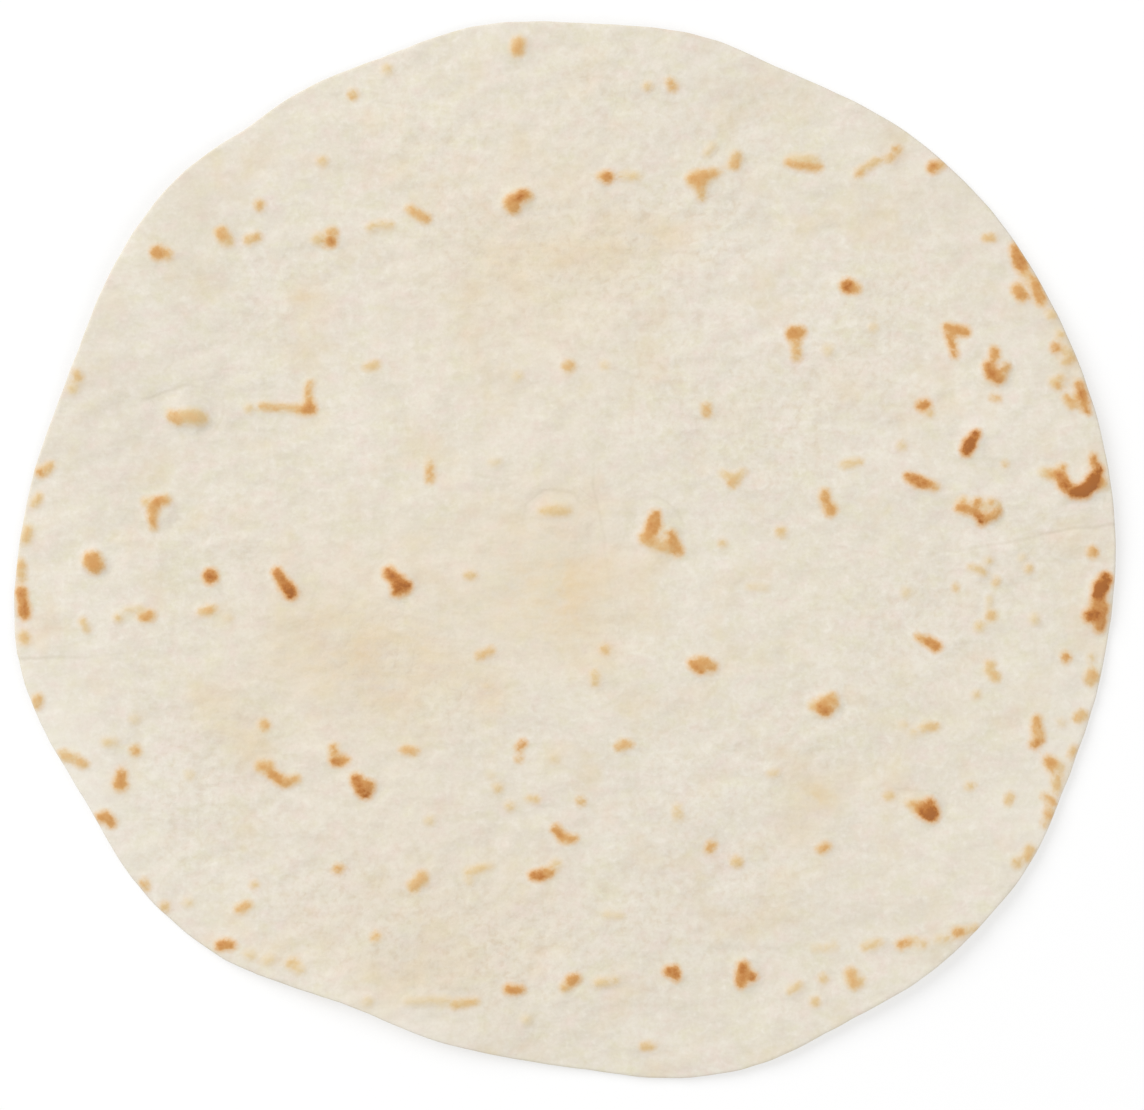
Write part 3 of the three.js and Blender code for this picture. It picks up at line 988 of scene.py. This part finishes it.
def paintSkin(paint, noise):  # the pale crust between the marks
    tan, pebbly, flour = paint.kept("tan"), paint.kept("pebbly"), paint.kept("flour")
    patch, streak, pebble = noise["patch"], noise["streak"], noise["pebble"]
    base = washOver(paint, crust["cream"], noise, crust["washes"])
    smoothShade, pebblyShade = crust["creviceShade"]
    # Painted shade: darker in the hollows of the pebble bump, where the pebble noise is low
    creviceShadeShare = ((0.5 - pebble) * 4.5).clamped() * (smoothShade + pebbly * (pebblyShade - smoothShade))
    base = paint.mixed(creviceShadeShare, base, crust["paintedCreviceShade"])
    base = washOver(paint, base, noise, crust["specks"])
    uneven = patch + streak * 0.8 + pebble * 0.7 - 1.25
    tanned = tan * (crust["tanLevel"] + uneven * crust["tanContrast"])
    base = paint.mixed(tanned.clamped() * 0.9, base, crust["tan"])
    base = washOver(paint, base, noise, crust["stains"])
    # Painted light and painted shade, partly the crust's own tone: paler and duller patches that even
    # out the lamps
    base = paint.mixed(flour.clamped(), base, crust["pale"])
    return paint.mixed((0 - flour).clamped(), base, crust["dullToneAndPaintedShade"])


# Painted shade: a darker line along each fold, where the crease would lie in shadow
def paintFoldShade(paint, noise, base):
    side = paint.kept("foldSide") + noise["hue"] - 0.5
    beside = paint.node("ShaderNodeMath", {"operation": "ABSOLUTE"}, {0: side})
    line = (1 - beside / crust["foldWidth"]).eased() * paint.kept("foldStrength")
    return paint.mixed(line * crust["foldShade"], base, crust["paintedFoldShade"])


def paintToast(paint, noise, base):  # the marks, and where they are
    reach, tone = paint.kept("toastReach"), paint.kept("toastTone")
    ragged, fine, pebble = noise["ragged"] - 0.5, noise["fine"] - 0.5, noise["pebble"] - 0.5
    edge = reach + crust["toastSpread"] + ragged * crust["toastRagged"] + fine * 0.2
    halo = crust["toastHalo"] - tone * 0.2
    mask = ((edge + halo) / (halo * 1.7)).eased()
    core = ((edge + 0.6) / 1.6).eased()  # inside the soft edge
    deep = ((edge - 0.7) / 1.1).eased()  # the middle of the widest marks
    blotch = ragged * 0.75 + fine * 0.15 + pebble * 0.6
    shade = tone * (0.26 + core * 0.69) + deep * 0.1 + blotch * (0.09 + tone * 0.4)
    toast = paint.node("ShaderNodeValToRGB", {"stops": crust["toast"]}, {"Fac": shade})
    toast = paint.mixed((1 - core) * tone * 0.7, toast, crust["ember"])
    return paint.mixed(mask, base, toast), mask


def makeCrust():
    paint = Paint("baked_crust")
    place = paint.node("ShaderNodeTexCoord", out="Object")
    noise = {name: paint.noise(place, **settings) for name, settings in crust["noises"].items()}
    skin = paintFoldShade(paint, noise, paintSkin(paint, noise))
    surface, mask = paintToast(paint, noise, skin)

    pebbled = noise["pebble"] * (0.5 + paint.kept("pebbly") * 0.55)
    height = noise["streak"] * 0.7 + noise["speck"] * 0.24 + noise["grain"] * 0.1 + pebbled
    bumped = paint.node(
        "ShaderNodeBump", sockets={"Strength": 0.7, "Distance": crust["bumpDepth"], "Height": height}
    )
    gloss = crust["roughness"] - mask * (crust["roughness"] - crust["toastRoughness"])
    shader = paint.node(
        "ShaderNodeBsdfPrincipled",
        sockets={
            "Base Color": surface,
            "Roughness": gloss + (noise["speck"] - 0.5) * 0.1,
            "Normal": bumped,
            "Specular IOR Level": 0.3,
        },
    )
    return paint.finish(shader)


def finishBread(thing):
    thing.data.materials.clear()
    thing.data.materials.append(makeCrust())
    bpy.ops.object.select_all(action="DESELECT")
    thing.select_set(True)
    bpy.context.view_layer.objects.active = thing
    bpy.ops.object.shade_smooth()


finishBread(bread)
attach(bread, "root")
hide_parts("bread")
print("bread finished")


studio = {
    "floorSize": 8.0,
    "floorDrop": 0.05 * mm,
    "floorGrey": (0.5, 0.5, 0.5, 1),
    "floorGlow": 0.47,  # a light of its own keeps the shadow faint
    "sky": 0.57,
    "key": {"place": (-2.1, 1.9, 2.2), "size": 2.6, "power": 86.0},
    "fill": {"place": (1.9, -1.7, 2.3), "size": 2.6, "power": 27.0},
}


def makeFloorFinish():
    paint = Paint("pale_floor")
    shader = paint.node(
        "ShaderNodeBsdfPrincipled",
        sockets={
            "Base Color": studio["floorGrey"],
            "Roughness": 0.9,
            "Specular IOR Level": 0.1,
            "Emission Color": (1, 1, 1, 1),
            "Emission Strength": studio["floorGlow"],
        },
    )
    return paint.finish(shader)


def makeFloor():
    bpy.ops.object.select_all(action="DESELECT")
    bpy.ops.mesh.primitive_plane_add(size=studio["floorSize"], location=(0, 0, -studio["floorDrop"]))
    floor = bpy.context.active_object
    floor.name = "floor"
    floor.data.materials.append(makeFloorFinish())


def makeLight(name, settings):
    bpy.ops.object.light_add(type="AREA", location=settings["place"])
    light = bpy.context.active_object
    light.name = name
    light.data.shape = "DISK"
    light.data.size = settings["size"]
    light.data.energy = settings["power"]
    light.rotation_euler = Vector(settings["place"]).to_track_quat("Z", "Y").to_euler()


def makeSky():
    world = bpy.data.worlds.new("sky")
    bpy.context.scene.world = world
    world.use_nodes = True
    background = world.node_tree.nodes["Background"]
    background.inputs["Color"].default_value = (1, 1, 1, 1)
    background.inputs["Strength"].default_value = studio["sky"]


def makeCamera():
    x, y = (halfWidth * share for share in view["aside"])
    bpy.ops.object.camera_add(location=(x, y, cameraHeight + mm), rotation=(0, 0, 0))
    camera = bpy.context.active_object
    camera.data.lens = view["lens"]
    camera.data.sensor_width = view["sensor"]
    camera.data.clip_end = 20
    bpy.context.scene.camera = camera


makeFloor()
makeLight("key_light", studio["key"])
makeLight("fill_light", studio["fill"])
makeSky()
makeCamera()
bpy.context.scene.view_settings.view_transform = "Standard"
print("studio set")
